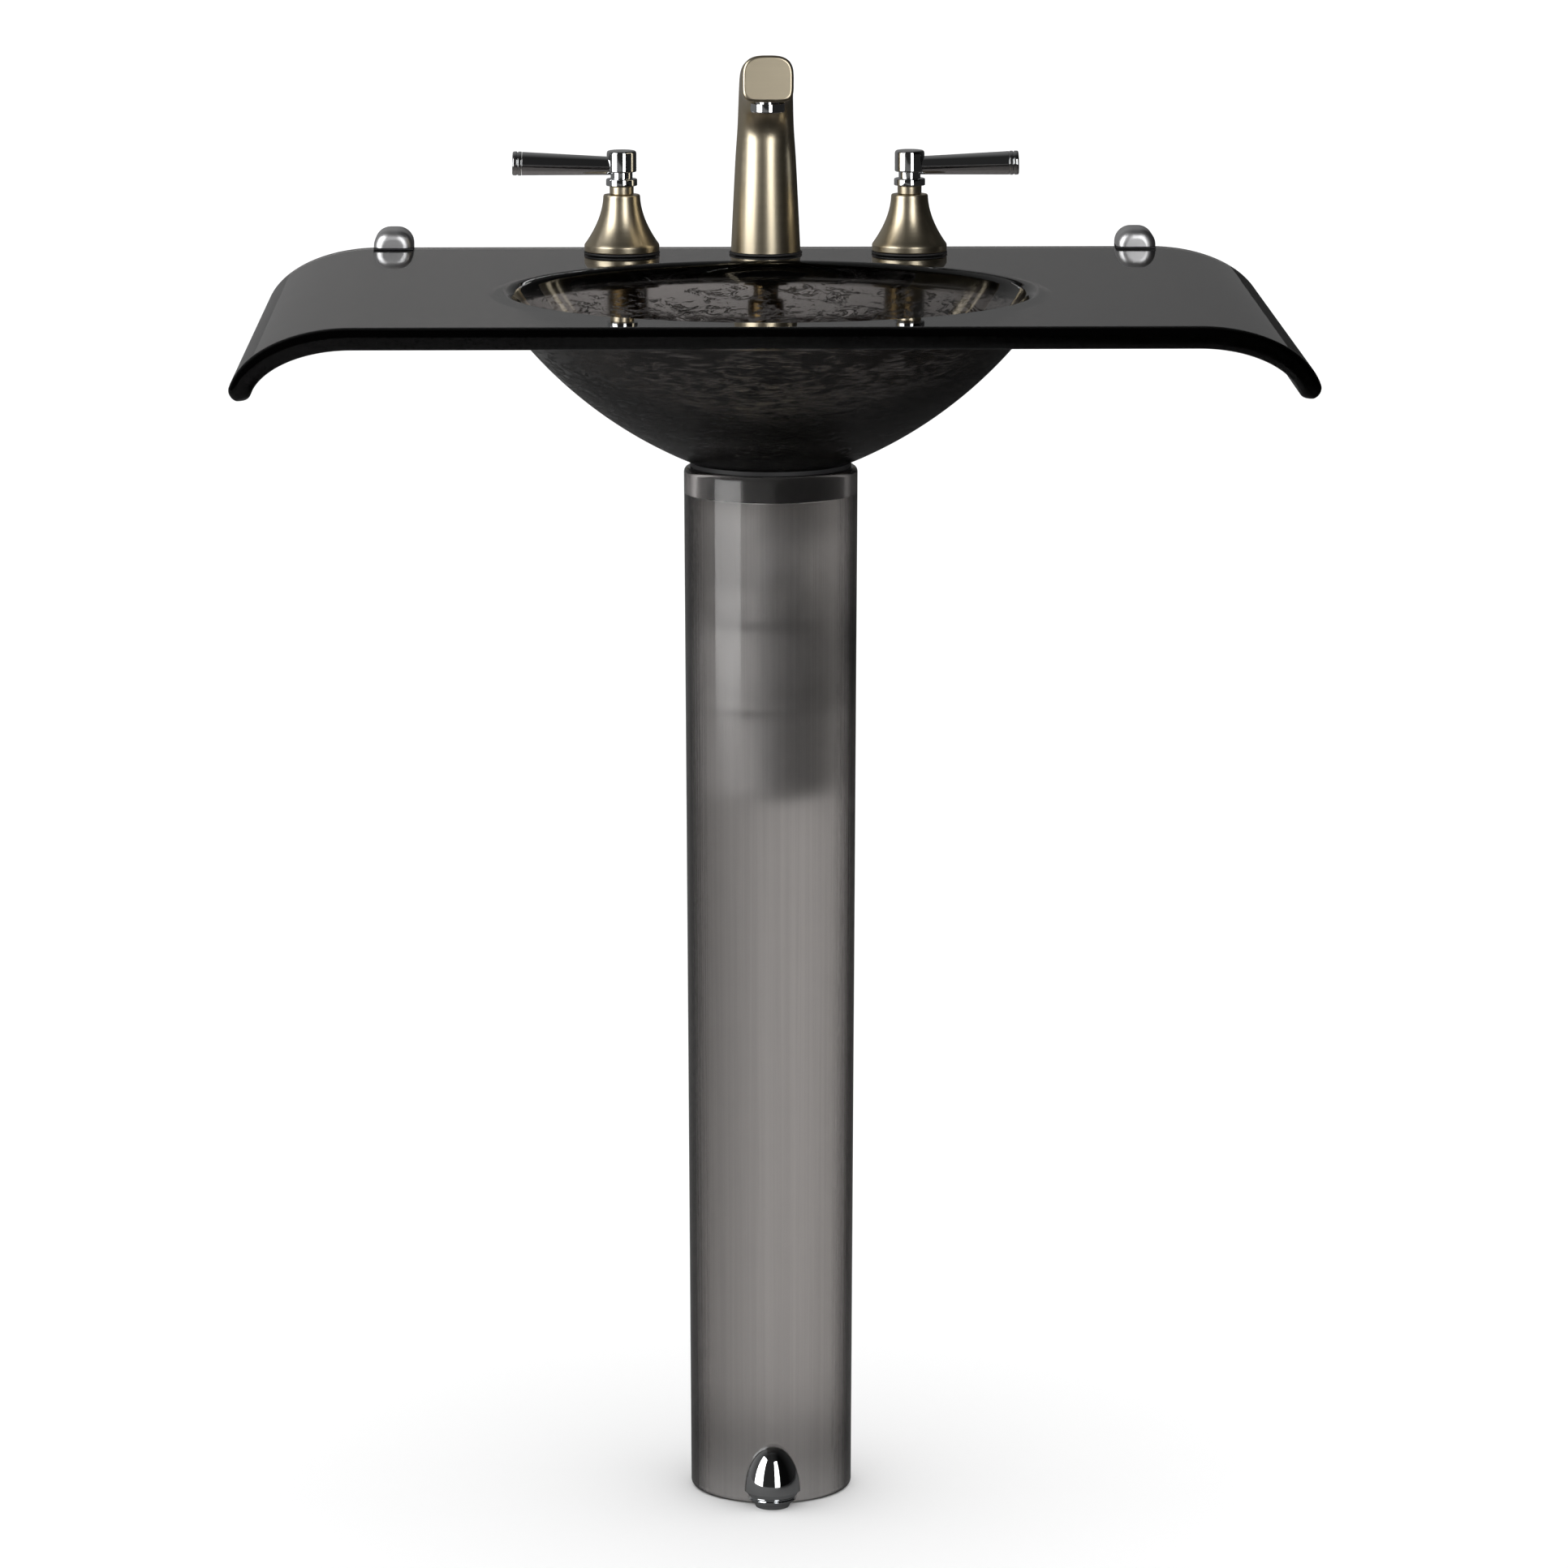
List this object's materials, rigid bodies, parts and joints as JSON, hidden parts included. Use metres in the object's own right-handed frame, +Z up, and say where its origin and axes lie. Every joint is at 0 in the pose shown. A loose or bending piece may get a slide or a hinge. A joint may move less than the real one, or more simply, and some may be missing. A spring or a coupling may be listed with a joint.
{
  "type": "pedestal sink",
  "caption": "Slumped smoked-glass basin with drooping wings on a glass tube pedestal, with a widespread lever faucet, lifting drain plug and bottle trap.",
  "frame": {"origin": "middle of the sink's footprint, on the floor; the wall plane is at y = +0.243 m", "axes": "+Z up, +Y towards the wall, +X to the right of someone using the sink's cold side"},
  "size_m": [0.709, 0.486, 0.9831],
  "materials": {
    "smoked_glass": "polished dark smoked glass",
    "column_glass": "satin smoked glass",
    "rubber": "matt black",
    "nickel": "warm brushed nickel",
    "chrome": "polished",
    "brass": "machined",
    "copper": "drawn copper",
    "steel": "zinc plated",
    "plastic": "moulded"
  },
  "bodies": {
    "sink": {"aerator": "chrome", "clamp_screw_left": "steel", "clamp_screw_right": "steel", "clip_liner_left": "rubber", "clip_liner_right": "rubber", "cold_bell": "nickel", "cold_cartridge": "plastic", "cold_collar": "nickel", "cold_crossover": "copper", "cold_gasket": "rubber", "cold_nut": "brass", "cold_valve": "brass", "cold_washer": "rubber", "drain_body": "chrome", "drain_gasket": "rubber", "drain_nut": "brass", "floor_clip_front": "chrome", "floor_clip_rear": "chrome", "floor_pad_front": "rubber", "floor_pad_rear": "rubber", "floor_stud_front": "steel", "floor_stud_rear": "steel", "glass_basin": "smoked_glass", "hot_bell": "nickel", "hot_cartridge": "plastic", "hot_collar": "nickel", "hot_crossover": "copper", "hot_gasket": "rubber", "hot_nut": "brass", "hot_valve": "brass", "hot_washer": "rubber", "pedestal_collar": "rubber", "pedestal_tube": "column_glass", "spout": "nickel", "spout_gasket": "rubber", "spout_nut": "brass", "spout_shank": "brass", "spout_tee": "brass", "spout_washer": "rubber", "tailpiece": "chrome", "tailpiece_nut": "chrome", "trap_arm": "chrome", "trap_arm_nut": "chrome", "trap_body": "chrome", "trap_cup": "chrome", "trap_inlet_nut": "chrome", "wall_clip_left": "chrome", "wall_clip_right": "chrome", "wall_flange": "chrome"},
    "hot_handle": {"hot_lever": "chrome", "hot_lever_tip": "chrome", "hot_set_screw": "steel", "hot_stem": "brass"},
    "cold_handle": {"cold_lever": "chrome", "cold_lever_tip": "chrome", "cold_set_screw": "steel", "cold_stem": "brass"},
    "drain_plug": {"drain_cap": "chrome"}
  },
  "joints": [
    {"name": "hot_lever_turn", "type": "hinge", "parent": "sink", "child": "hot_handle", "pos_m": [-0.1016, 0.189, 0.8845], "axis": [0, 0, 1], "range_deg": [0, 90]},
    {"name": "cold_lever_turn", "type": "hinge", "parent": "sink", "child": "cold_handle", "pos_m": [0.1016, 0.189, 0.8845], "axis": [0, 0, 1], "range_deg": [-90, 0]},
    {"name": "drain_cap_lift", "type": "slide", "parent": "sink", "child": "drain_plug", "axis": [0, 0, 1], "range_m": [0, 0.008]}
  ]
}
